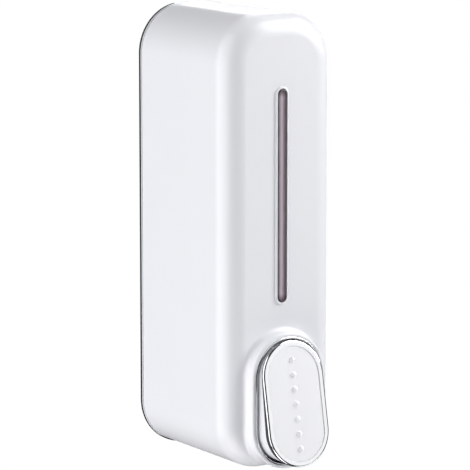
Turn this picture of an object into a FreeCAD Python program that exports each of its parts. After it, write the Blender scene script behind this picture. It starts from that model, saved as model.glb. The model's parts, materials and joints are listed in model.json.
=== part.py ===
import FreeCAD, Part
import math
import os

from FreeCAD import Rotation, Vector

os.makedirs("parts", exist_ok=True)

# A wall mounted soap dispenser, in millimetres.  +Z is up, the wall is the plane y = 0 and the front
# of the dispenser faces -Y.  The origin is the centre of the four wall screw holes, on the wall.

# Housing
WIDTH = 58.0
HEIGHT = 205.0
DEPTH = 73.0
CORNER_R = 22.0
FRONT_R = 10.0
COVER_WALL = 2.2
TRIM_THICK = 1.5
TRIM_PROUD = 0.6  # how far the chrome ring stands out all round
COVER_GAP = 0.2
FIT = 0.05  # between pieces that are fixed to each other

HALF_W = WIDTH / 2
HALF_H = HEIGHT / 2
INNER_FRONT = -(DEPTH - COVER_WALL)
COVER_BACK = -(TRIM_THICK + COVER_GAP)

# Window in the front
SLOT_TOP = 69.3
SLOT_BOTTOM = -26.6
SLOT_HALF = 2.6
SLOT_RIM_WIDE = 0.8
SLOT_RIM_HIGH = 0.8
LENS_SUNK = 0.15
LENS_EDGE_R = 0.7
LENS_FLANGE = 1.5
LENS_FLANGE_OUT = 4.8  # past each end of the slot
WINDOW_SCREW_OUT = 8.5
WINDOW_SCREWS = (SLOT_TOP + WINDOW_SCREW_OUT, SLOT_BOTTOM - WINDOW_SCREW_OUT)
WINDOW_PILOT_R = 1.05
RETAINER_HALF = 9.0
RETAINER_OPEN = 4.5
RETAINER_OUT = 12.3
RETAINER_THICK = 1.5

# Raised lip, bezel and button.  The button hinges at its top and its face tilts out at the bottom.
LIP_Y = -79.3
LIP_HALF = 19.3
LIP_TOP = -39.5
LIP_BOTTOM = -101.4
LIP_R = 1.0
LIP_BASE_R = 2.0
BEZEL_WALL = 0.8
BEZEL_EDGE_R = 0.25
BEZEL_BACK = -66.0
RECESS_HALF = 16.8
RECESS_TOP = -42.0
RECESS_BOTTOM = -99.2
BUTTON_HALF = 16.05
BUTTON_TOP = -42.7
BUTTON_BOTTOM = -98.5
BUTTON_FACE_Y = -80.2
BUTTON_TILT = 10.83
BUTTON_BACK = -73.0
BUTTON_RIM = 2.45
BUTTON_EDGE_R = 0.8
RIM_DEPTH = 0.9
SEAL_DEPTH = 1.25  # at the top of the button; it gets deeper towards the bottom
SEAL_TURN = 3.2
SEAL_INSET = 0.35
SKIRT_INSET = 0.5
BUTTON_WALL = 2.0
PAD_SUNK = 0.25
PAD_POCKET = 1.6
BUTTON_FLOOR = 6.2
DOME_COUNT = 7
DOME_PITCH = 6.64
DOME_FIRST = 8.6
DOME_R = 1.45
DOME_SINK = 0.35
BUTTON_PIN_Y = -76.0
BUTTON_PIN_Z = -45.5
BUTTON_PIN_R = 1.0
BUTTON_PIN_HALF = 11.8
PUSHER_PILOT_R = 0.95
PUSHER_R = 3.0
PUSHER_BASE = 2.0

# Cover hinge, low at the back
HINGE_Y = -9.0
HINGE_Z = -97.5
HINGE_PIN_R = 1.2
HINGE_LUG_R = 2.3
HINGE_SWEEP_R = 7.3
LUG_INNER = 4.5
LUG_WIDTH = 2.5
LUG_GAP = 0.3

# Back plate
PLATE_FRONT = -3.0
PLATE_INSET = 2.8
RING_WIDTH = 3.0
PLATE_CORNER_X = 8.0  # outside this the plate's front layer stops short, where the cover swings up
PLATE_CORNER_Z = -87.0
SCREW_HOLE_R = 2.25
SCREW_X = 14.0
SCREW_Z = 40.0
FIN_IN = 23.2
FIN_OUT = 24.6
FIN_FRONT = -18.0
FIN_BOTTOM = -30.0
FIN_TOP = 45.0
FIN_R = 5.0
STIFFENERS = (-12.0, 12.0, 62.0, 84.0)  # heights of the ribs across the plate
SHELF_SCREW_X = 9.0
SHELF_SCREW_Z = -59.0

# Lock, in the right-hand side of the cover
LOCK_Y = -16.0
LOCK_Z = 70.0
LOCK_BODY_R = 5.5
LOCK_HEAD_R = 7.0
LOCK_PLUG_R = 3.5
CAM_LEFT = 23.9
CAM_RIGHT = 24.95
CAM_REACH = 10.5
CAM_TIP_R = 2.2
TANG_HALF = 1.5
LOCK_NUT_R = 8.0
LOCK_NUT_THICK = 1.4

# Bottle, shelf and pump
BOTTLE_HALF = 22.5
BOTTLE_FRONT = -62.0
BOTTLE_BACK = -6.0
BOTTLE_TOP = 80.0
BOTTLE_BOTTOM = -47.5
BOTTLE_WALL = 1.5
FILLER_Y = -34.0
FILLER_R = 11.5
COLLAR_TOP = 84.0
NECK_Y = -28.0
NECK_R = 9.0
NECK_BORE = 7.0
NECK_BOTTOM = -57.5
SHELF_TOP = -47.8
SHELF_THICK = 2.5
SHELF_HALF = 22.0
FLANGE_TOP = -61.0
FLANGE_THICK = 2.5
POST_X = 15.0
SPIGOT_R = 5.5
SPIGOT_TOP = -51.0
PUMP_Z = -76.0
PUMP_R = 9.0
PUMP_BORE = 7.3
PUMP_FRONT = -46.0
PUMP_BACK = -12.0
OUTLET_Y = -50.0
OUTLET_HOLE_R = 9.0
GALLERY_TOP = -87.2
GALLERY_BOTTOM = -94.0
HEAD_FRONT = -60.0
HEAD_THICK = 2.5
STEM_R = 3.0
PORT_R = 1.8
PISTON_FRONT = -41.5
PISTON_BACK = -35.5
PISTON_CORE_R = 5.6
NUT_FRONT = -48.5
NUT_WALL = 1.5
NUT_GRIPS = 12
SPRING_WIRE_R = 0.5
SPRING_COIL_R = 5.0
SPRING_TURNS = 4.0
NOZZLE_BOTTOM = -99.8


def box(x0, x1, y0, y1, z0, z1):
    return Part.makeBox(x1 - x0, y1 - y0, z1 - z0, Vector(x0, y0, z0))


def rod_x(radius, y, z, x0, x1):
    return Part.makeCylinder(radius, x1 - x0, Vector(x0, y, z), Vector(1, 0, 0))


def rod_y(radius, x, z, y0, y1):
    return Part.makeCylinder(radius, y1 - y0, Vector(x, y0, z), Vector(0, 1, 0))


def rod_z(radius, x, y, z0, z1):
    return Part.makeCylinder(radius, z1 - z0, Vector(x, y, z0), Vector(0, 0, 1))


def edges_along(shape, direction):
    """The straight edges of a shape that run along a direction."""
    found = []
    for edge in shape.Edges:
        if isinstance(edge.Curve, Part.Line):
            if abs(edge.tangentAt(edge.FirstParameter).dot(direction)) > 0.999:
                found.append(edge)
    return found


def edges_at(shape, axis, level):
    """The edges of a shape that lie in the plane where an axis (0, 1 or 2) has one level."""
    found = []
    for edge in shape.Edges:
        bounds = edge.BoundBox
        low = (bounds.XMin, bounds.YMin, bounds.ZMin)[axis]
        high = (bounds.XMax, bounds.YMax, bounds.ZMax)[axis]
        if abs(low - level) < 1e-4 and abs(high - level) < 1e-4:
            found.append(edge)
    return found


def rounded_block(inset, y0, y1, corner=CORNER_R):
    """A block with the housing's rounded outline, shrunk on all sides by an inset."""
    block = box(inset - HALF_W, HALF_W - inset, y0, y1, inset - HALF_H, HALF_H - inset)
    return block.makeFillet(corner - inset, edges_along(block, Vector(0, 1, 0)))


def stadium(half, top, bottom, y0, y1, x=0.0):
    """A block with straight sides and full round ends, its flat faces towards the front and back."""
    body = box(x - half, x + half, y0, y1, bottom + half, top - half)
    upper = rod_y(half, x, top - half, y0, y1)
    lower = rod_y(half, x, bottom + half, y0, y1)
    return body.fuse([upper, lower]).removeSplitter()


def ring(outer, inner, make, *place):
    """A tube: the same rod maker is used for the outside and, cut away, for the bore."""
    return make(outer, *place).cut(make(inner, *place))


def on_face(shape):
    """Takes a shape drawn on an upright face at the origin to the button's tilted face."""
    placed = shape.copy()
    placed.rotate(Vector(0, 0, 0), Vector(1, 0, 0), -BUTTON_TILT)
    placed.translate(Vector(0, BUTTON_FACE_Y, BUTTON_TOP))
    return placed


def behind_face(depth, turn=0.0):
    """All the space that is deeper than a depth behind the button's tilted face.

    A turn, in degrees, makes that depth grow from the top of the button downwards.
    """
    space = box(-40, 40, depth, 80, -120, 60)
    space.rotate(Vector(0, depth, 0), Vector(1, 0, 0), turn)
    return on_face(space)


def screw(head_r, head_h, shank_r, length):
    """A pan head screw along +Y, its head in front of the origin and its shank behind."""
    head = rod_y(head_r, 0, 0, -head_h, 0)
    head = head.makeFillet(head_h * 0.45, edges_at(head, 1, -head_h))
    shank = rod_y(shank_r, 0, 0, 0, length)
    slot = head_r * 0.7
    depth = head_h * 0.5
    width = head_r * 0.14
    cross = box(-slot, slot, -head_h, depth - head_h, -width, width)
    cross = cross.fuse(box(-width, width, -head_h, depth - head_h, -slot, slot))
    return head.fuse(shank).cut(cross).removeSplitter()


def moved(shape, x, y, z):
    copy = shape.copy()
    copy.translate(Vector(x, y, z))
    return copy


def make_trim_ring():
    outer = rounded_block(-TRIM_PROUD, -TRIM_THICK, 0.0)
    return outer.cut(rounded_block(RING_WIDTH, -TRIM_THICK, 0.0))


def hinge_lug(x0):
    """An arm that comes down in front of the plate, clear of the cover's turning edge."""
    x1 = x0 + LUG_WIDTH
    knuckle = rod_x(HINGE_LUG_R, HINGE_Y, HINGE_Z, x0, x1)
    arm = box(x0, x1, HINGE_Y - HINGE_LUG_R, HINGE_Y + 1.6, HINGE_Z, -84.0)
    root = box(x0, x1, HINGE_Y - HINGE_LUG_R, PLATE_FRONT, -88.0, -84.0)
    lug = knuckle.fuse([arm, root]).removeSplitter()
    return lug.cut(rod_x(HINGE_PIN_R + 0.06, HINGE_Y, HINGE_Z, x0, x1))


def lock_catch():
    """The hook that the lock's cam turns behind."""
    x0 = CAM_LEFT - 0.2
    x1 = CAM_RIGHT + 0.2
    arm = box(x0, x1, LOCK_Y - 5.0, PLATE_FRONT, LOCK_Z - 13.5, LOCK_Z - 11.5)
    lip = box(x0, x1, LOCK_Y - 5.0, LOCK_Y - 2.8, LOCK_Z - 13.5, LOCK_Z - 6.0)
    return arm.fuse(lip)


def make_back_plate():
    plate = rounded_block(PLATE_INSET, PLATE_FRONT, -TRIM_THICK)
    plate = plate.fuse(rounded_block(RING_WIDTH + FIT, -TRIM_THICK, 0.0)).removeSplitter()
    plate = plate.cut(rod_x(HINGE_SWEEP_R + 0.4, HINGE_Y, HINGE_Z, -HALF_W, HALF_W))
    for x in (-HALF_W, PLATE_CORNER_X):
        width = HALF_W - PLATE_CORNER_X
        plate = plate.cut(box(x, x + width, PLATE_FRONT, -TRIM_THICK, -HALF_H, PLATE_CORNER_Z))
    added = [hinge_lug(LUG_INNER), hinge_lug(-LUG_INNER - LUG_WIDTH), lock_catch()]
    for side in (-1, 1):
        fin = box(FIN_IN, FIN_OUT, FIN_FRONT, PLATE_FRONT, FIN_BOTTOM, FIN_TOP)
        front_edges = [e for e in edges_along(fin, Vector(1, 0, 0)) if e.BoundBox.YMax < FIN_FRONT + 1.0]
        fin = fin.makeFillet(FIN_R, front_edges)
        added.append(fin if side > 0 else fin.mirror(Vector(0, 0, 0), Vector(1, 0, 0)))
    for z in STIFFENERS:
        added.append(box(-18.0, 18.0, PLATE_FRONT - 1.5, PLATE_FRONT, z - 0.75, z + 0.75))
    plate = plate.fuse(added).removeSplitter()
    for x in (-SCREW_X, SCREW_X):
        for z in (-SCREW_Z, SCREW_Z):
            plate = plate.cut(rod_y(SCREW_HOLE_R, x, z, PLATE_FRONT - 2.0, 1.0))
    for x in (-SHELF_SCREW_X, SHELF_SCREW_X):
        plate = plate.cut(rod_y(1.25, x, SHELF_SCREW_Z, PLATE_FRONT - 1.0, -0.5))
    return plate


def outside_lip(point):
    """How far a point is outside the lip's stadium outline."""
    z = min(max(point.z, LIP_BOTTOM + LIP_HALF), LIP_TOP - LIP_HALF)
    return math.hypot(point.x, point.z - z) - LIP_HALF


def lip_base_edges(shape):
    """The edges where the lip's side wall meets the front of the housing."""
    found = []
    for edge in shape.Edges:
        span = edge.LastParameter - edge.FirstParameter
        points = [edge.valueAt(edge.FirstParameter + t * span) for t in (0.0, 0.1, 0.5, 0.9, 1.0)]
        on_outline = all(abs(outside_lip(point)) < 0.01 for point in points)
        chord = points[-1] - points[0]
        runs_back = isinstance(edge.Curve, Part.Line) and abs(chord.y) > 0.9 * chord.Length
        if on_outline and points[2].y > LIP_Y + 1.0 and not runs_back:
            found.append(edge)
    return found


def slot_rim():
    """The low round-edged rim that the window sits in."""
    wide = SLOT_RIM_WIDE
    rim_y = -DEPTH - SLOT_RIM_HIGH
    rim = stadium(SLOT_HALF + wide, SLOT_TOP + wide, SLOT_BOTTOM - wide, rim_y, -DEPTH + 0.5)
    return rim.makeFillet(wide * 0.6, edges_at(rim, 1, rim_y))


def cover_outside():
    shell = rounded_block(0.0, -DEPTH, COVER_BACK)
    shell = shell.makeFillet(FRONT_R, edges_at(shell, 1, -DEPTH))
    lip = stadium(LIP_HALF, LIP_TOP, LIP_BOTTOM, LIP_Y, INNER_FRONT + 6.0)
    both = shell.fuse(lip).removeSplitter()
    both = both.makeFillet(LIP_BASE_R, lip_base_edges(both))
    both = both.makeFillet(LIP_R, edges_at(both, 1, LIP_Y))
    return both.fuse(slot_rim())


def cover_inside():
    inside = rounded_block(COVER_WALL, INNER_FRONT, 1.0)
    return inside.makeFillet(FRONT_R - COVER_WALL, edges_at(inside, 1, INNER_FRONT))


def bezel_outline(gap, y0, y1):
    grow = BEZEL_WALL + gap
    return stadium(RECESS_HALF + grow, RECESS_TOP + grow, RECESS_BOTTOM - grow, y0, y1)


def cover_ear(x0):
    x1 = x0 + LUG_WIDTH
    knuckle = rod_x(HINGE_LUG_R, HINGE_Y, HINGE_Z, x0, x1)
    web = box(x0, x1, HINGE_Y - HINGE_LUG_R, HINGE_Y + HINGE_LUG_R, -HALF_H + 0.6, HINGE_Z)
    return knuckle.fuse(web)


def make_cover():
    cover = cover_outside().cut(cover_inside())
    relief = box(-HALF_W, HALF_W, HINGE_Y, 0.0, -HALF_H - 1.0, HINGE_Z)
    relief = relief.cut(rod_x(HINGE_SWEEP_R, HINGE_Y, HINGE_Z, -HALF_W, HALF_W))
    ear_x = LUG_INNER + LUG_WIDTH + LUG_GAP
    pin_hole = BUTTON_PIN_HALF + 0.4
    cover = cover.fuse([cover_ear(ear_x), cover_ear(-ear_x - LUG_WIDTH)])
    for z in WINDOW_SCREWS:
        cover = cover.fuse(rod_y(3.0, 0, z, INNER_FRONT - 0.5, INNER_FRONT + LENS_FLANGE))
        cover = cover.cut(rod_y(WINDOW_PILOT_R, 0, z, INNER_FRONT - 1.2, INNER_FRONT + 3.0))
    cuts = [
        relief,
        bezel_outline(FIT, -95.0, -62.0),
        stadium(SLOT_HALF, SLOT_TOP, SLOT_BOTTOM, -80.0, -65.0),
        rod_z(OUTLET_HOLE_R, 0, OUTLET_Y, -HALF_H - 1.0, -95.0),
        rod_x(LOCK_BODY_R + FIT, LOCK_Y, LOCK_Z, 20.0, 35.0),
        rod_x(LOCK_HEAD_R + FIT, LOCK_Y, LOCK_Z, HALF_W - 1.0, 35.0),
        rod_x(HINGE_PIN_R + 0.02, HINGE_Y, HINGE_Z, -12.0, 12.0),
        rod_x(BUTTON_PIN_R + FIT, BUTTON_PIN_Y, BUTTON_PIN_Z, -pin_hole, pin_hole),
    ]
    return cover.cut(cuts).removeSplitter()


def make_cover_hinge_pins():
    x0 = LUG_INNER + 0.1
    x1 = LUG_INNER + 2 * LUG_WIDTH + LUG_GAP - 0.1
    right = rod_x(HINGE_PIN_R, HINGE_Y, HINGE_Z, x0, x1)
    left = rod_x(HINGE_PIN_R, HINGE_Y, HINGE_Z, -x1, -x0)
    return Part.makeCompound([right, left])


def make_window_lens():
    front = -DEPTH - SLOT_RIM_HIGH + LENS_SUNK
    plug = stadium(SLOT_HALF - FIT, SLOT_TOP - FIT, SLOT_BOTTOM + FIT, front, INNER_FRONT + 0.5)
    plug = plug.makeFillet(LENS_EDGE_R, edges_at(plug, 1, front))
    top = SLOT_TOP + LENS_FLANGE_OUT
    bottom = SLOT_BOTTOM - LENS_FLANGE_OUT
    flange = stadium(6.0, top, bottom, INNER_FRONT + FIT, INNER_FRONT + LENS_FLANGE)
    return plug.fuse(flange).removeSplitter()


def retainer_y():
    return INNER_FRONT + LENS_FLANGE + FIT


def make_window_retainer():
    front = retainer_y()
    back = front + RETAINER_THICK
    frame = stadium(RETAINER_HALF, SLOT_TOP + RETAINER_OUT, SLOT_BOTTOM - RETAINER_OUT, front, back)
    frame = frame.cut(stadium(RETAINER_OPEN, SLOT_TOP + 2.0, SLOT_BOTTOM - 2.0, front, back))
    for z in WINDOW_SCREWS:
        frame = frame.cut(rod_y(WINDOW_PILOT_R, 0, z, front, back))
    return frame


def make_window_screws():
    one = screw(2.2, 1.4, 1.0, 3.6)
    one.rotate(Vector(0, 0, 0), Vector(0, 0, 1), 180)
    y = retainer_y() + RETAINER_THICK + FIT
    return Part.makeCompound([moved(one, 0, y, z) for z in WINDOW_SCREWS])


def make_bezel_ring():
    bezel = bezel_outline(0.0, LIP_Y, BEZEL_BACK)
    bezel = bezel.cut(stadium(RECESS_HALF, RECESS_TOP, RECESS_BOTTOM, LIP_Y, BEZEL_BACK))
    bezel = bezel.makeFillet(BEZEL_EDGE_R, edges_at(bezel, 1, LIP_Y))
    return bezel.cut(rod_x(BUTTON_PIN_R + 0.02, BUTTON_PIN_Y, BUTTON_PIN_Z, -15.0, 15.0))


def face_edges(shape):
    """The edges of the button's tilted face."""
    slope = math.tan(math.radians(BUTTON_TILT))
    found = []
    for edge in shape.Edges:
        middle = edge.valueAt((edge.FirstParameter + edge.LastParameter) / 2)
        ends = [edge.valueAt(edge.FirstParameter), middle, edge.valueAt(edge.LastParameter)]
        face_y = [BUTTON_FACE_Y - (BUTTON_TOP - point.z) * slope for point in ends]
        if all(abs(point.y - y) < 0.01 for point, y in zip(ends, face_y)):
            found.append(edge)
    return found


def button_length():
    return (BUTTON_TOP - BUTTON_BOTTOM) / math.cos(math.radians(BUTTON_TILT))


def button_outline(inset):
    """A block with the button's outline, shrunk on all sides by an inset."""
    return stadium(BUTTON_HALF - inset, BUTTON_TOP - inset, BUTTON_BOTTOM + inset, -100.0, BUTTON_BACK)


def pad_block(gap, front, back):
    """A block that fills the opening in the rim but for a gap, between two depths behind the face."""
    inset = BUTTON_RIM + gap
    return on_face(stadium(BUTTON_HALF - inset, -inset, inset - button_length(), front, back))


def make_button_rim():
    rim = button_outline(0.0).common(behind_face(0.0))
    rim = rim.makeFillet(BUTTON_EDGE_R, face_edges(rim))
    rim = rim.cut(behind_face(RIM_DEPTH))
    return rim.cut(pad_block(0.0, -5.0, RIM_DEPTH + 1.0))


def make_button_seal():
    """The rubber ring between the chrome rim and the skirt."""
    seal = button_outline(SEAL_INSET).common(behind_face(RIM_DEPTH + FIT))
    seal = seal.cut(behind_face(SEAL_DEPTH, SEAL_TURN))
    return seal.cut(pad_block(0.0, -5.0, BUTTON_FLOOR))


def make_button_body():
    skirt = button_outline(SKIRT_INSET).common(behind_face(SEAL_DEPTH + FIT, SEAL_TURN))
    hollow = button_outline(SKIRT_INSET + BUTTON_WALL).common(behind_face(BUTTON_FLOOR))
    hinge = box(-10.0, 10.0, BUTTON_PIN_Y - 2.2, BUTTON_BACK - 0.5, BUTTON_PIN_Z - 2.4, BUTTON_TOP)
    body = skirt.cut(hollow).fuse(hinge.common(skirt)).cut(pad_block(0.0, -5.0, PAD_POCKET))
    body = body.fuse(pad_block(FIT, PAD_POCKET, BUTTON_FLOOR - 0.5)).removeSplitter()
    body = body.cut(rod_x(BUTTON_PIN_R + FIT, BUTTON_PIN_Y, BUTTON_PIN_Z, -15.0, 15.0))
    for x, z in pusher_screw_spots():
        body = body.cut(on_face(rod_y(PUSHER_PILOT_R, x, z, BUTTON_FLOOR - 1.2, BUTTON_FLOOR + 1.0)))
    return body


def make_button_pad():
    pad = pad_block(FIT, PAD_SUNK, PAD_POCKET - FIT)
    domes = []
    for i in range(DOME_COUNT):
        z = -(DOME_FIRST + i * DOME_PITCH)
        dome = Part.makeSphere(DOME_R, Vector(0, PAD_SUNK + DOME_SINK, z))
        domes.append(on_face(dome.common(box(-5, 5, -5, PAD_POCKET - FIT, -60, 0))))
    return pad.fuse(domes).removeSplitter()


def make_button_pin():
    return rod_x(BUTTON_PIN_R, BUTTON_PIN_Y, BUTTON_PIN_Z, -BUTTON_PIN_HALF, BUTTON_PIN_HALF)


def pusher_screw_spots():
    middle = (PUMP_Z - BUTTON_TOP) / math.cos(math.radians(BUTTON_TILT))
    return [(0.0, middle + 9.0), (0.0, middle - 9.0)]


def make_button_pusher():
    spots = pusher_screw_spots()
    top = spots[0][1] + 4.0
    bottom = spots[1][1] - 4.0
    front = BUTTON_FLOOR + FIT
    base = stadium(5.0, top, bottom, front, front + PUSHER_BASE)
    for x, z in spots:
        base = base.cut(rod_y(PUSHER_PILOT_R, x, z, front, front + PUSHER_BASE))
    nose_y = HEAD_FRONT - FIT - PUSHER_R
    post = rod_y(PUSHER_R, 0, PUMP_Z, -95.0, nose_y).common(behind_face(front))
    nose = Part.makeSphere(PUSHER_R, Vector(0, nose_y, PUMP_Z))
    return on_face(base).fuse([post, nose]).removeSplitter()


def make_pusher_screws():
    one = screw(1.9, 1.3, 0.9, 3.0)
    one.rotate(Vector(0, 0, 0), Vector(0, 0, 1), 180)
    y = BUTTON_FLOOR + PUSHER_BASE + 2 * FIT
    return Part.makeCompound([on_face(moved(one, x, y, z)) for x, z in pusher_screw_spots()])


def make_lock_body():
    head = rod_x(LOCK_HEAD_R, LOCK_Y, LOCK_Z, HALF_W - 1.0 + FIT, HALF_W - 0.05)
    head = head.makeFillet(0.5, edges_at(head, 0, HALF_W - 0.05))
    body = rod_x(LOCK_BODY_R, LOCK_Y, LOCK_Z, CAM_RIGHT + 0.2, HALF_W - 0.5)
    bore = rod_x(LOCK_PLUG_R + FIT, LOCK_Y, LOCK_Z, 20.0, 35.0)
    return head.fuse(body).cut(bore).removeSplitter()


def make_lock_nut():
    x1 = HALF_W - COVER_WALL - FIT
    x0 = x1 - LOCK_NUT_THICK
    corners = []
    for i in range(7):
        angle = math.radians(60 * i)
        y = LOCK_Y + LOCK_NUT_R * math.cos(angle)
        z = LOCK_Z + LOCK_NUT_R * math.sin(angle)
        corners.append(Vector(x0, y, z))
    nut = Part.Face(Part.makePolygon(corners)).extrude(Vector(x1 - x0, 0, 0))
    return nut.cut(rod_x(LOCK_BODY_R + FIT, LOCK_Y, LOCK_Z, x0, x1))


def make_lock_plug():
    plug = rod_x(LOCK_PLUG_R, LOCK_Y, LOCK_Z, CAM_RIGHT + FIT, HALF_W - 0.15)
    half = TANG_HALF
    tang = box(CAM_LEFT, CAM_RIGHT + 0.5, LOCK_Y - half, LOCK_Y + half, LOCK_Z - half, LOCK_Z + half)
    key_slot = box(HALF_W - 2.5, HALF_W, LOCK_Y - 0.45, LOCK_Y + 0.45, LOCK_Z - 2.4, LOCK_Z + 2.4)
    plug = plug.fuse(tang).cut(key_slot)
    return plug.cut(rod_x(0.85, LOCK_Y, LOCK_Z, CAM_LEFT, CAM_LEFT + 2.2)).removeSplitter()


def make_lock_cam():
    hub = rod_x(4.0, LOCK_Y, LOCK_Z, CAM_LEFT, CAM_RIGHT)
    tip_y = LOCK_Y + CAM_REACH - CAM_TIP_R
    arm = box(CAM_LEFT, CAM_RIGHT, LOCK_Y, tip_y, LOCK_Z - CAM_TIP_R, LOCK_Z + CAM_TIP_R)
    tip = rod_x(CAM_TIP_R, tip_y, LOCK_Z, CAM_LEFT, CAM_RIGHT)
    cam = hub.fuse([arm, tip]).removeSplitter()
    half = TANG_HALF + FIT
    return cam.cut(box(20.0, 26.0, LOCK_Y - half, LOCK_Y + half, LOCK_Z - half, LOCK_Z + half))


def make_cam_screw():
    one = screw(2.2, 0.7, 0.8, 2.0)
    one.rotate(Vector(0, 0, 0), Vector(0, 0, 1), -90)
    return moved(one, CAM_LEFT - FIT, LOCK_Y, LOCK_Z)


def make_shelf():
    shelf_bottom = SHELF_TOP - SHELF_THICK
    back = PLATE_FRONT - FIT
    shelf = box(-SHELF_HALF, SHELF_HALF, -60.0, back, shelf_bottom, SHELF_TOP)
    shelf = shelf.makeFillet(8.0, [e for e in edges_along(shelf, Vector(0, 0, 1)) if e.BoundBox.YMax < -59])
    flange = box(-14.0, 14.0, back - 2.8, back, -66.0, SHELF_TOP)
    pieces = [flange]
    for side in (-1, 1):
        pieces.append(rod_z(3.5, side * POST_X, NECK_Y, FLANGE_TOP + FIT, SHELF_TOP))
        corners = [
            Vector(side * 14.0, back - 1.0, -65.0),
            Vector(side * 14.0, back - 1.0, SHELF_TOP - 1.0),
            Vector(side * 14.0, -18.0, SHELF_TOP - 1.0),
        ]
        gusset = Part.Face(Part.makePolygon(corners + corners[:1]))
        pieces.append(gusset.extrude(Vector(-side * 2.0, 0, 0)))
    shelf = shelf.fuse(pieces).removeSplitter()
    shelf = shelf.cut(rod_z(NECK_R + 0.8, 0, NECK_Y, -70.0, -40.0))
    for side in (-1, 1):
        shelf = shelf.cut(rod_z(1.25, side * POST_X, NECK_Y, -70.0, -53.0))
        shelf = shelf.cut(rod_y(1.3, side * SHELF_SCREW_X, SHELF_SCREW_Z, -10.0, 0.0))
    return shelf


def make_shelf_screws():
    one = screw(2.6, 1.6, 1.2, 5.2)
    y = PLATE_FRONT - 2.8 - 2 * FIT
    return Part.makeCompound([moved(one, x, y, SHELF_SCREW_Z) for x in (-SHELF_SCREW_X, SHELF_SCREW_X)])


def make_bottle():
    body = box(-BOTTLE_HALF, BOTTLE_HALF, BOTTLE_FRONT, BOTTLE_BACK, BOTTLE_BOTTOM, BOTTLE_TOP)
    body = body.makeFillet(9.0, edges_along(body, Vector(0, 0, 1)))
    body = body.makeFillet(4.0, edges_at(body, 2, BOTTLE_TOP) + edges_at(body, 2, BOTTLE_BOTTOM))
    wall = BOTTLE_WALL
    inside = box(
        wall - BOTTLE_HALF,
        BOTTLE_HALF - wall,
        BOTTLE_FRONT + wall,
        BOTTLE_BACK - wall,
        BOTTLE_BOTTOM + wall,
        BOTTLE_TOP - wall,
    )
    inside = inside.makeFillet(7.5, edges_along(inside, Vector(0, 0, 1)))
    ends = edges_at(inside, 2, BOTTLE_TOP - wall) + edges_at(inside, 2, BOTTLE_BOTTOM + wall)
    inside = inside.makeFillet(2.5, ends)
    collar = rod_z(FILLER_R + 1.6, 0, FILLER_Y, BOTTLE_TOP - 1.0, COLLAR_TOP)
    neck = rod_z(NECK_R, 0, NECK_Y, NECK_BOTTOM, BOTTLE_BOTTOM + 1.0)
    body = body.fuse([collar, neck]).cut(inside)
    mouth = rod_z(FILLER_R, 0, FILLER_Y, BOTTLE_TOP - 5.0, COLLAR_TOP)
    bore = rod_z(NECK_BORE, 0, NECK_Y, NECK_BOTTOM, BOTTLE_BOTTOM + 5.0)
    return body.cut([mouth, bore]).removeSplitter()


def make_cap_seal():
    return ring(FILLER_R + 1.5, FILLER_R - 1.0, rod_z, 0, FILLER_Y, COLLAR_TOP + FIT, COLLAR_TOP + 1.0)


def make_filler_cap():
    under = COLLAR_TOP + 1.0 + FIT
    top = under + 1.8
    cap = rod_z(FILLER_R + 3.2, 0, FILLER_Y, BOTTLE_TOP + 0.4, top)
    cap = cap.makeFillet(0.8, edges_at(cap, 2, top))
    cap = cap.cut(rod_z(FILLER_R + 1.7, 0, FILLER_Y, BOTTLE_TOP, under))
    grip = box(-1.2, 1.2, FILLER_Y - 10.0, FILLER_Y + 10.0, top - 0.5, top + 1.0)
    return cap.fuse(grip).removeSplitter()


def make_neck_seal():
    return Part.makeTorus(6.25, 0.7, Vector(0, NECK_Y, -53.6), Vector(0, 0, 1))


def make_pump_body():
    barrel = rod_y(PUMP_R, 0, PUMP_Z, PUMP_FRONT, PUMP_BACK)
    spigot = rod_z(SPIGOT_R, 0, NECK_Y, PUMP_Z, SPIGOT_TOP)
    flange_bottom = FLANGE_TOP - FLANGE_THICK
    flange = box(-19.5, 19.5, NECK_Y - 5.5, NECK_Y + 5.5, flange_bottom, FLANGE_TOP)
    flange = flange.makeFillet(5.0, edges_along(flange, Vector(0, 0, 1)))
    rib = box(-1.0, 1.0, NECK_Y - 14.0, NECK_Y + 12.0, PUMP_Z + 5.0, FLANGE_TOP - 1.0)
    web = box(-4.0, 4.0, -40.0, -17.0, GALLERY_TOP - 1.0, PUMP_Z - 4.0)
    gallery = box(-4.0, 4.0, OUTLET_Y, -17.0, GALLERY_BOTTOM, GALLERY_TOP)
    gallery = gallery.fuse(rod_z(4.0, 0, OUTLET_Y, GALLERY_BOTTOM, GALLERY_TOP))
    outlet = rod_z(5.0, 0, OUTLET_Y, -96.0, GALLERY_BOTTOM + 0.5)
    body = barrel.fuse([spigot, flange, rib, web, gallery, outlet]).removeSplitter()
    channel_z = (GALLERY_TOP + GALLERY_BOTTOM) / 2
    cuts = [
        rod_y(PUMP_BORE, 0, PUMP_Z, PUMP_FRONT, PUMP_BACK - 2.5),
        rod_z(3.5, 0, NECK_Y, -62.0, SPIGOT_TOP),
        rod_z(2.2, 0, NECK_Y, PUMP_Z, -62.0),
        rod_z(PORT_R, 0, -20.0, channel_z, PUMP_Z),
        rod_y(PORT_R, 0, channel_z, OUTLET_Y, -18.5),
        rod_z(PORT_R, 0, OUTLET_Y, -96.0, channel_z),
        rod_z(1.3, POST_X, NECK_Y, -70.0, -55.0),
        rod_z(1.3, -POST_X, NECK_Y, -70.0, -55.0),
    ]
    return body.cut(cuts)


def make_pump_screws():
    one = screw(2.6, 1.6, 1.2, 9.0)
    one.rotate(Vector(0, 0, 0), Vector(1, 0, 0), 90)
    z = FLANGE_TOP - FLANGE_THICK - FIT
    return Part.makeCompound([moved(one, x, NECK_Y, z) for x in (-POST_X, POST_X)])


def make_inlet_valve():
    disc = rod_z(3.3, 0, NECK_Y, -62.0 + FIT, -61.1)
    knob = rod_z(1.2, 0, NECK_Y, -61.5, -59.8)
    return disc.fuse(knob).removeSplitter()


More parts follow.
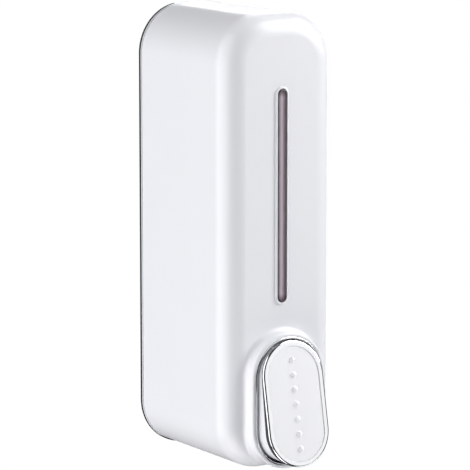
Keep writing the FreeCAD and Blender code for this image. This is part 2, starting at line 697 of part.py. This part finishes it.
def make_pump_nut():
    nut = rod_y(PUMP_R + NUT_WALL, 0, PUMP_Z, NUT_FRONT, PUMP_FRONT + 4.0)
    nut = nut.makeFillet(0.6, edges_at(nut, 1, NUT_FRONT))
    nut = nut.cut(rod_y(PUMP_R + FIT, 0, PUMP_Z, PUMP_FRONT - FIT, 0.0))
    nut = nut.cut(rod_y(STEM_R + 0.08, 0, PUMP_Z, -60.0, 0.0))
    groove_out = PUMP_R + NUT_WALL + 0.4
    for i in range(NUT_GRIPS):
        angle = math.radians(360 * i / NUT_GRIPS)
        x = groove_out * math.cos(angle)
        z = PUMP_Z + groove_out * math.sin(angle)
        nut = nut.cut(rod_y(0.8, x, z, NUT_FRONT, PUMP_FRONT + 4.0))
    return nut


def make_plunger():
    head = rod_y(7.0, 0, PUMP_Z, HEAD_FRONT, HEAD_FRONT + HEAD_THICK)
    head = head.makeFillet(0.8, edges_at(head, 1, HEAD_FRONT))
    stem = rod_y(STEM_R, 0, PUMP_Z, HEAD_FRONT + 1.0, PISTON_BACK)
    piston = rod_y(PUMP_BORE - 0.4, 0, PUMP_Z, PISTON_FRONT, PISTON_BACK)
    groove = ring(PUMP_BORE, PISTON_CORE_R, rod_y, 0, PUMP_Z, PISTON_FRONT + 2.0, PISTON_BACK - 2.0)
    return head.fuse([stem, piston]).cut(groove).removeSplitter()


def make_piston_seal():
    front = PISTON_FRONT + 2.0 + FIT
    back = PISTON_BACK - 2.0 - FIT
    return ring(PUMP_BORE - FIT, PISTON_CORE_R + FIT, rod_y, 0, PUMP_Z, front, back)


def make_return_spring():
    start = HEAD_FRONT + HEAD_THICK + SPRING_WIRE_R + 0.1
    length = NUT_FRONT - SPRING_WIRE_R - 0.1 - start
    helix = Part.makeHelix(length / SPRING_TURNS, length, SPRING_COIL_R)
    circle = Part.makeCircle(SPRING_WIRE_R, Vector(SPRING_COIL_R, 0, 0), Vector(0, 1, 0))
    coil = Part.Wire(helix).makePipeShell([Part.Wire(circle)], True, True)
    coil.Placement = FreeCAD.Placement(Vector(0, start, PUMP_Z), Rotation(Vector(1, 0, 0), -90))
    return coil


def make_nozzle():
    skirt = rod_z(6.5, 0, OUTLET_Y, -97.4, GALLERY_BOTTOM - 0.2)
    tip = rod_z(3.6, 0, OUTLET_Y, NOZZLE_BOTTOM, -97.0)
    nozzle = skirt.fuse(tip).removeSplitter()
    nozzle = nozzle.cut(rod_z(5.0 + FIT, 0, OUTLET_Y, -96.9, -90.0))
    return nozzle.cut(rod_z(2.4, 0, OUTLET_Y, -101.0, -90.0))


def make_outlet_valve():
    flange = rod_z(4.9, 0, OUTLET_Y, -96.85, -96.0 - FIT)
    bill = rod_z(2.2, 0, OUTLET_Y, -99.4, -96.5)
    valve = flange.fuse(bill).removeSplitter()
    valve = valve.cut(rod_z(1.5, 0, OUTLET_Y, -98.9, -95.0))
    return valve.cut(box(-1.6, 1.6, OUTLET_Y - 0.1, OUTLET_Y + 0.1, -100.0, -98.0))


NODES = {
    "back_plate": make_back_plate,
    "trim_ring": make_trim_ring,
    "cover": make_cover,
    "cover_hinge_pins": make_cover_hinge_pins,
    "window_lens": make_window_lens,
    "window_retainer": make_window_retainer,
    "window_screws": make_window_screws,
    "bezel_ring": make_bezel_ring,
    "button_rim": make_button_rim,
    "button_seal": make_button_seal,
    "button_body": make_button_body,
    "button_pad": make_button_pad,
    "button_pin": make_button_pin,
    "button_pusher": make_button_pusher,
    "pusher_screws": make_pusher_screws,
    "lock_body": make_lock_body,
    "lock_nut": make_lock_nut,
    "lock_plug": make_lock_plug,
    "lock_cam": make_lock_cam,
    "cam_screw": make_cam_screw,
    "bottle_shelf": make_shelf,
    "shelf_screws": make_shelf_screws,
    "bottle": make_bottle,
    "filler_cap": make_filler_cap,
    "cap_seal": make_cap_seal,
    "neck_seal": make_neck_seal,
    "pump_body": make_pump_body,
    "pump_screws": make_pump_screws,
    "inlet_valve": make_inlet_valve,
    "pump_nut": make_pump_nut,
    "plunger": make_plunger,
    "piston_seal": make_piston_seal,
    "return_spring": make_return_spring,
    "outlet_valve": make_outlet_valve,
    "nozzle": make_nozzle,
}

for node, make in NODES.items():
    make().exportStep("parts/" + node + ".step")
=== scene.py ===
import json
import math

import bpy
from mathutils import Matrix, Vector


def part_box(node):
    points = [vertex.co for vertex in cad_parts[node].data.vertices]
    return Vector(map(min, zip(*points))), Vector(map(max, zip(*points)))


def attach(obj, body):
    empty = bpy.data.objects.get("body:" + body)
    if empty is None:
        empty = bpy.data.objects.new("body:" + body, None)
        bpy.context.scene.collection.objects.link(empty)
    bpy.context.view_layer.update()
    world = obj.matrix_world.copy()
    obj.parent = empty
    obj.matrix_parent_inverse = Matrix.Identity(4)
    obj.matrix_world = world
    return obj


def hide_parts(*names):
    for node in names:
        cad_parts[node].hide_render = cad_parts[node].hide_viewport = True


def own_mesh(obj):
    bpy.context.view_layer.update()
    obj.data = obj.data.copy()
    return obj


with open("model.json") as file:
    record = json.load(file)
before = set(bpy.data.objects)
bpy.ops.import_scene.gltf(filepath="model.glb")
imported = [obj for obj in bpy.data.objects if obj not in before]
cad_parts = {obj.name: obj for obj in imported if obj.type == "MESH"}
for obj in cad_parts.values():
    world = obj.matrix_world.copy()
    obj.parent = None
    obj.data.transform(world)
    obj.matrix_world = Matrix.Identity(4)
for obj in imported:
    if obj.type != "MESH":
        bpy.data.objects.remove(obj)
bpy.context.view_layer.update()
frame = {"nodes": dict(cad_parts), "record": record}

MM = 0.001
MICRON = 0.000001
WHITE = (1.0, 1.0, 1.0)

# Camera: place in metres, viewing direction, focal length and sensor width in millimetres,
# and the furthest it sees in metres
CAMERA_PLACE = (-0.68418, -1.09124, 0.20129)
CAMERA_LOOK = (0.53675, 0.82864, -0.15893)
CAMERA_LENS = 214.06
CAMERA_SENSOR = 36.0
CAMERA_REACH = 50.0

# Lights: name, degrees to the right of straight in front, degrees up, metres away,
# width and height in metres, power in watts
LIT_POINT = (0.0, -0.04, 0.0)
LIGHTS = [
    ("left", -92.0, 9.0, 1.0, (1.35, 2.1), 16.9),
    ("low_left", -50.0, -58.0, 1.0, (0.7, 0.7), 4.6),
    ("right", 56.0, 31.0, 1.0, (0.8, 0.95), 13.1),
    ("low_right", 60.0, -45.0, 1.0, (0.4, 0.8), 2.0),
    ("back_right", 144.0, 40.0, 1.0, (0.3, 1.0), 2.0),
    ("back", 150.0, -2.0, 1.2, (1.5, 0.9), 2.2),
    ("card", 31.0, 6.0, 1.0, (0.26, 0.8), 0.66),
]

# Floor, in metres, and the faint light that comes from all round
FLOOR_HALF = 6.0
FLOOR_LEVEL = -1.4
FLOOR_SHADE = 0.97
ROOM_TINT = (0.96, 0.97, 1.0)
ROOM_STRENGTH = 0.05

# Window: half width of its plug, reach of its hidden flange past the slot, length of the painted shade
# at an end, how far the painted highlight stripe lies left of the middle, its painted colours, and how
# uneven their edges are
LENS_HALF = 2.55 * MM
LENS_FLANGE_OUT = 4.8 * MM
LENS_END_SHADE_LENGTH = 5.0 * MM
LENS_HIGHLIGHT_LEFT = 0.45 * MM
# The window colours are painted light: a pale highlight, a mid tone, painted shade at the sides, painted
# shade at the ends
LENS_PAINTED_HIGHLIGHT = (0.44, 0.375, 0.425)
LENS_MIDDLE = (0.24, 0.19, 0.225)
LENS_PAINTED_SHADE = (0.085, 0.06, 0.078)
LENS_END_PAINTED_SHADE = (0.22, 0.19, 0.19)
LENS_WOBBLE = 0.16

# Looks of the plain materials, by slot; grain is the depth of the fine relief, mottle the share by
# which the colour wavers, and lines are drawn out along the axis with the small scale
PLASTICS = {
    "cover_white": dict(
        colour=(0.862, 0.868, 0.905), roughness=0.34, grain=6 * MICRON, coat=0.25, mottle=0.006
    ),
    # pad_white is set lighter than the cover's white as painted light, for the light falling on the
    # button's upturned face
    "pad_white": dict(
        colour=(0.94, 0.945, 0.97), roughness=0.38, grain=12 * MICRON, coat=0.1, mottle=0.006
    ),
    "plate_plastic": dict(colour=(0.62, 0.63, 0.65), roughness=0.5, grain=40 * MICRON),
    "retainer_plastic": dict(colour=(0.05, 0.05, 0.055), roughness=0.45, grain=40 * MICRON),
    "mechanism_plastic": dict(colour=(0.74, 0.74, 0.7), roughness=0.42, grain=20 * MICRON),
    "cap_plastic": dict(colour=(0.09, 0.1, 0.12), roughness=0.42, grain=40 * MICRON),
}
RUBBERS = {
    "seal_rubber": dict(colour=(0.03, 0.03, 0.03), roughness=0.6),
    "valve_rubber": dict(colour=(0.6, 0.6, 0.56), roughness=0.4),
}
CHROMES = {
    "trim_chrome": dict(colour=(0.86, 0.87, 0.89), roughness=0.07),
    "lock_metal": dict(colour=(0.75, 0.76, 0.78), roughness=0.36),
}
STEELS = {
    "pin_steel": dict(colour=(0.62, 0.62, 0.64), roughness=0.25, axis_scale=(0.05, 1.0, 1.0)),
    "screw_steel": dict(colour=(0.6, 0.6, 0.63), roughness=0.3, axis_scale=(1.0, 0.1, 1.0)),
    "spring_steel": dict(colour=(0.5, 0.5, 0.52), roughness=0.3, axis_scale=(1.0, 0.1, 1.0)),
    "cam_steel": dict(colour=(0.52, 0.52, 0.54), roughness=0.35, axis_scale=(1.0, 1.0, 0.08)),
}


# ---------------------------------------------------------------- node helpers

def new_material(name):
    """A material with an empty tree but for its shader and output."""
    material = bpy.data.materials.new(name)
    material.use_nodes = True
    tree = material.node_tree
    tree.nodes.clear()
    output = tree.nodes.new("ShaderNodeOutputMaterial")
    shader = tree.nodes.new("ShaderNodeBsdfPrincipled")
    tree.links.new(shader.outputs["BSDF"], output.inputs["Surface"])
    return material, tree, shader


def place_coordinates(tree):
    """Coordinates that are fixed to the piece, in metres."""
    return tree.nodes.new("ShaderNodeTexCoord").outputs["Object"]


def noise(tree, where, scale, detail=3.0):
    """Cloudy noise from 0 to 1, with scale cells to the metre."""
    node = tree.nodes.new("ShaderNodeTexNoise")
    node.inputs["Scale"].default_value = scale
    node.inputs["Detail"].default_value = detail
    tree.links.new(where, node.inputs["Vector"])
    return node.outputs["Fac"]


def ramp(tree, value, stops):
    """Maps a value to colours; stops are (position, colour) from low to high."""
    node = tree.nodes.new("ShaderNodeValToRGB")
    elements = node.color_ramp.elements
    while len(elements) < len(stops):
        elements.new(0.5)
    for element, (position, colour) in zip(elements, stops):
        element.position = position
        element.color = (*colour, 1.0)
    tree.links.new(value, node.inputs["Fac"])
    return node.outputs["Color"]


def spread(tree, value, low, high):
    """Stretches a 0 to 1 value to a new range."""
    node = tree.nodes.new("ShaderNodeMapRange")
    node.inputs["To Min"].default_value = low
    node.inputs["To Max"].default_value = high
    tree.links.new(value, node.inputs["Value"])
    return node.outputs["Result"]


def math_node(tree, operation, *values):
    """One operation on numbers or sockets."""
    node = tree.nodes.new("ShaderNodeMath")
    node.operation = operation
    for socket, value in zip(node.inputs, values):
        if isinstance(value, (int, float)):
            socket.default_value = value
        else:
            tree.links.new(value, socket)
    return node.outputs["Value"]


def multiply(tree, first, second):
    """One colour times another."""
    node = tree.nodes.new("ShaderNodeVectorMath")
    node.operation = "MULTIPLY"
    tree.links.new(first, node.inputs[0])
    tree.links.new(second, node.inputs[1])
    return node.outputs["Vector"]


def streaky_noise(tree, where, axis_scale, scale):
    """Noise drawn out along the axes whose scale is below one."""
    mapping = tree.nodes.new("ShaderNodeMapping")
    mapping.inputs["Scale"].default_value = axis_scale
    tree.links.new(where, mapping.inputs["Vector"])
    return noise(tree, mapping.outputs["Vector"], scale)


def bump(tree, shader, height, distance):
    """Fine relief, as deep as distance in metres."""
    node = tree.nodes.new("ShaderNodeBump")
    node.inputs["Distance"].default_value = distance
    tree.links.new(height, node.inputs["Height"])
    tree.links.new(node.outputs["Normal"], shader.inputs["Normal"])


def tint_by(tree, shader, value, stops):
    """Colours the surface by a 0 to 1 value."""
    tree.links.new(ramp(tree, value, stops), shader.inputs["Base Color"])


def rough_by(tree, shader, value, low, high):
    """Roughness from low to high by a 0 to 1 value."""
    tree.links.new(spread(tree, value, low, high), shader.inputs["Roughness"])


def shade(colour, factor):
    """A darker or lighter version of a colour."""
    return tuple(min(1.0, c * factor) for c in colour)


# ---------------------------------------------------------------- materials

def moulded_plastic(name, colour, roughness, grain, coat=0.0, mottle=0.02):
    """Moulded plastic: a fine grain, a faint flow mottle and uneven gloss."""
    material, tree, shader = new_material(name)
    where = place_coordinates(tree)
    flow = noise(tree, where, scale=35.0, detail=4.0)
    dull = shade(colour, 1.0 - mottle)
    bright = shade(colour, 1.0 + mottle)
    tint_by(tree, shader, flow, [(0.3, dull), (0.7, bright)])
    gloss = noise(tree, where, scale=180.0, detail=2.0)
    rough_by(tree, shader, gloss, low=roughness * 0.88, high=roughness * 1.12)
    bump(tree, shader, noise(tree, where, scale=2600.0, detail=2.0), grain)
    shader.inputs["Coat Weight"].default_value = coat
    shader.inputs["Coat Roughness"].default_value = 0.08
    return material


def chrome(name, colour, roughness):
    """Chrome plating, with the slight waviness and haze of plated plastic."""
    material, tree, shader = new_material(name)
    where = place_coordinates(tree)
    haze = noise(tree, where, scale=90.0)
    tint_by(tree, shader, haze, [(0.3, shade(colour, 0.97)), (0.7, colour)])
    rough_by(tree, shader, haze, low=roughness * 0.8, high=roughness * 1.3)
    bump(tree, shader, noise(tree, where, scale=120.0, detail=1.0), 4 * MICRON)
    shader.inputs["Metallic"].default_value = 1.0
    return material


def drawn_steel(name, colour, roughness, axis_scale):
    """Steel with fine lines along the way it was drawn or turned."""
    material, tree, shader = new_material(name)
    where = place_coordinates(tree)
    lines = streaky_noise(tree, where, axis_scale, scale=900.0)
    tint_by(tree, shader, lines, [(0.25, shade(colour, 0.85)), (0.75, colour)])
    rough_by(tree, shader, lines, low=roughness * 0.7, high=roughness * 1.4)
    bump(tree, shader, lines, 10 * MICRON)
    shader.inputs["Metallic"].default_value = 1.0
    return material


def across_window(tree, where, x):
    """How far a point of the window is from the painted highlight stripe: 0 on it, about 1 at the shaded
    sides.
    """
    shifted = math_node(tree, "ADD", x, LENS_HIGHLIGHT_LEFT)
    off_middle = math_node(tree, "ABSOLUTE", shifted)
    streaks = streaky_noise(tree, where, (1.0, 1.0, 0.12), scale=1500.0)
    wobble = spread(tree, streaks, -LENS_WOBBLE, LENS_WOBBLE)
    share = math_node(tree, "DIVIDE", off_middle, LENS_HALF)
    return math_node(tree, "ADD", share, wobble)


def from_window_end(tree, z):
    """How far a point of the window is from its nearer end: 0 at the end, 1 past the painted shade at
    the end.
    """
    low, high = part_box("window_lens")
    to_top = math_node(tree, "SUBTRACT", high.z - LENS_FLANGE_OUT, z)
    to_bottom = math_node(tree, "SUBTRACT", z, low.z + LENS_FLANGE_OUT)
    nearer = math_node(tree, "MINIMUM", to_top, to_bottom)
    return math_node(tree, "DIVIDE", nearer, LENS_END_SHADE_LENGTH)


def smoky_window():
    """Smoky plastic, made opaque: a painted highlight stripe runs down the middle and also stands for
    the bottle that would show through it, with painted shade at the sides and the ends.
    """
    material, tree, shader = new_material("window_smoke")
    where = place_coordinates(tree)
    split = tree.nodes.new("ShaderNodeSeparateXYZ")
    tree.links.new(where, split.inputs["Vector"])
    across = across_window(tree, where, split.outputs["X"])
    # Painted highlight down the middle of the window, falling off to painted shade at its sides
    highlight_and_shade = ramp(tree, across, [(0.1, LENS_PAINTED_HIGHLIGHT), (0.42, LENS_MIDDLE), (0.72, LENS_PAINTED_SHADE)])
    from_end = from_window_end(tree, split.outputs["Z"])
    # Painted shade darkens both ends of the window
    end_shade = ramp(tree, from_end, [(0.25, LENS_END_PAINTED_SHADE), (0.8, WHITE)])
    tree.links.new(multiply(tree, highlight_and_shade, end_shade), shader.inputs["Base Color"])
    drift = noise(tree, where, scale=60.0, detail=2.0)
    rough_by(tree, shader, drift, low=0.08, high=0.16)
    return material


def frosted_bottle():
    """Blow moulded bottle: cloudy, thin enough to let light through."""
    material, tree, shader = new_material("bottle_clear")
    where = place_coordinates(tree)
    cloud = noise(tree, where, scale=28.0, detail=4.0)
    tint_by(tree, shader, cloud, [(0.3, (0.78, 0.82, 0.86)), (0.7, (0.86, 0.89, 0.92))])
    rough_by(tree, shader, cloud, low=0.32, high=0.45)
    bump(tree, shader, noise(tree, where, scale=900.0), 30 * MICRON)
    shader.inputs["Transmission Weight"].default_value = 0.6
    shader.inputs["IOR"].default_value = 1.48
    return material


def rubber(name, colour, roughness):
    """Rubber with a dusty, uneven surface."""
    material, tree, shader = new_material(name)
    where = place_coordinates(tree)
    dust = noise(tree, where, scale=400.0)
    tint_by(tree, shader, dust, [(0.3, shade(colour, 0.85)), (0.75, shade(colour, 1.2))])
    rough_by(tree, shader, dust, low=roughness * 0.85, high=roughness * 1.1)
    bump(tree, shader, dust, 20 * MICRON)
    return material


def make_materials():
    """Every material, by the name of its slot."""
    made = {"bottle_clear": frosted_bottle(), "window_smoke": smoky_window()}
    families = [(moulded_plastic, PLASTICS), (rubber, RUBBERS), (chrome, CHROMES), (drawn_steel, STEELS)]
    for make, looks in families:
        for slot, look in looks.items():
            made[slot] = make(slot, **look)
    return made


def dress_cad_nodes(materials):
    """Gives every CAD node the procedural material of its slot."""
    for subpart in frame["record"]["subparts"]:
        obj = frame["nodes"][subpart["node"]]
        material = materials[subpart["material_slot"]]
        obj.data.materials.clear()
        obj.data.materials.append(material)


def make_squeezed_spring(steel):
    """The return spring, standing on the pump: a steel copy of its CAD node, fixed to the base."""
    node = frame["nodes"]["return_spring"]
    spring = bpy.data.objects.new("return_spring_coil", node.data.copy())
    bpy.context.scene.collection.objects.link(spring)
    spring.data.materials.clear()
    spring.data.materials.append(steel)
    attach(spring, "base")
    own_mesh(spring)
    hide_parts("return_spring")


# ---------------------------------------------------------------- studio

def make_camera():
    """Looks down a little on the front and the left side."""
    data = bpy.data.cameras.new("camera")
    camera = bpy.data.objects.new("camera", data)
    bpy.context.scene.collection.objects.link(camera)
    camera.location = CAMERA_PLACE
    camera.rotation_euler = Vector(CAMERA_LOOK).to_track_quat("-Z", "Y").to_euler()
    data.lens = CAMERA_LENS
    data.sensor_width = CAMERA_SENSOR
    data.clip_end = CAMERA_REACH
    bpy.context.scene.camera = camera


def direction(azimuth, elevation):
    """From the object outwards; azimuth 0 is straight in front and 90 is to the right."""
    turn = math.radians(azimuth)
    rise = math.radians(elevation)
    sideways = math.sin(turn) * math.cos(rise)
    forwards = math.cos(turn) * math.cos(rise)
    return Vector((sideways, -forwards, math.sin(rise)))


def make_light(name, azimuth, elevation, distance, size, power):
    """A soft box that faces the object and isn't seen itself."""
    away = direction(azimuth, elevation)
    data = bpy.data.lights.new(name, "AREA")
    data.shape = "RECTANGLE"
    data.size = size[0]
    data.size_y = size[1]
    data.energy = power
    light = bpy.data.objects.new(name, data)
    bpy.context.scene.collection.objects.link(light)
    light.location = Vector(LIT_POINT) + away * distance
    light.rotation_euler = away.to_track_quat("Z", "Y").to_euler()
    light.visible_camera = False


def make_floor():
    """A plain pale floor, far below, that lights nothing."""
    mesh = bpy.data.meshes.new("floor")
    sides = ((-1, -1), (1, -1), (1, 1), (-1, 1))
    corners = [(x * FLOOR_HALF, y * FLOOR_HALF, FLOOR_LEVEL) for x, y in sides]
    mesh.from_pydata(corners, [], [(0, 1, 2, 3)])
    floor = bpy.data.objects.new("floor", mesh)
    bpy.context.scene.collection.objects.link(floor)
    material, tree, shader = new_material("floor_pale")
    where = place_coordinates(tree)
    clouds = noise(tree, where, scale=3.0)
    tint = ramp(tree, clouds, [(0.0, shade(WHITE, FLOOR_SHADE)), (1.0, WHITE)])
    tree.links.new(tint, shader.inputs["Base Color"])
    tree.links.new(tint, shader.inputs["Emission Color"])
    shader.inputs["Emission Strength"].default_value = 1.0
    mesh.materials.append(material)
    floor.visible_diffuse = False
    floor.visible_glossy = False
    floor.visible_transmission = False


def make_world():
    """White to the eye, and nearly dark as a source of light and in reflections."""
    world = bpy.data.worlds.new("studio")
    bpy.context.scene.world = world
    world.use_nodes = True
    tree = world.node_tree
    tree.nodes.clear()
    output = tree.nodes.new("ShaderNodeOutputWorld")
    seen = tree.nodes.new("ShaderNodeBackground")
    seen.inputs["Color"].default_value = (*WHITE, 1.0)
    lit = tree.nodes.new("ShaderNodeBackground")
    lit.inputs["Color"].default_value = (*ROOM_TINT, 1.0)
    lit.inputs["Strength"].default_value = ROOM_STRENGTH
    path = tree.nodes.new("ShaderNodeLightPath")
    mix = tree.nodes.new("ShaderNodeMixShader")
    tree.links.new(path.outputs["Is Camera Ray"], mix.inputs["Fac"])
    tree.links.new(lit.outputs["Background"], mix.inputs[1])
    tree.links.new(seen.outputs["Background"], mix.inputs[2])
    tree.links.new(mix.outputs["Shader"], output.inputs["Surface"])


# ---------------------------------------------------------------- the scene

bpy.context.scene.view_settings.view_transform = "Standard"
materials = make_materials()
dress_cad_nodes(materials)
make_squeezed_spring(materials["spring_steel"])
make_camera()
make_floor()
make_world()
for light in LIGHTS:
    make_light(*light)
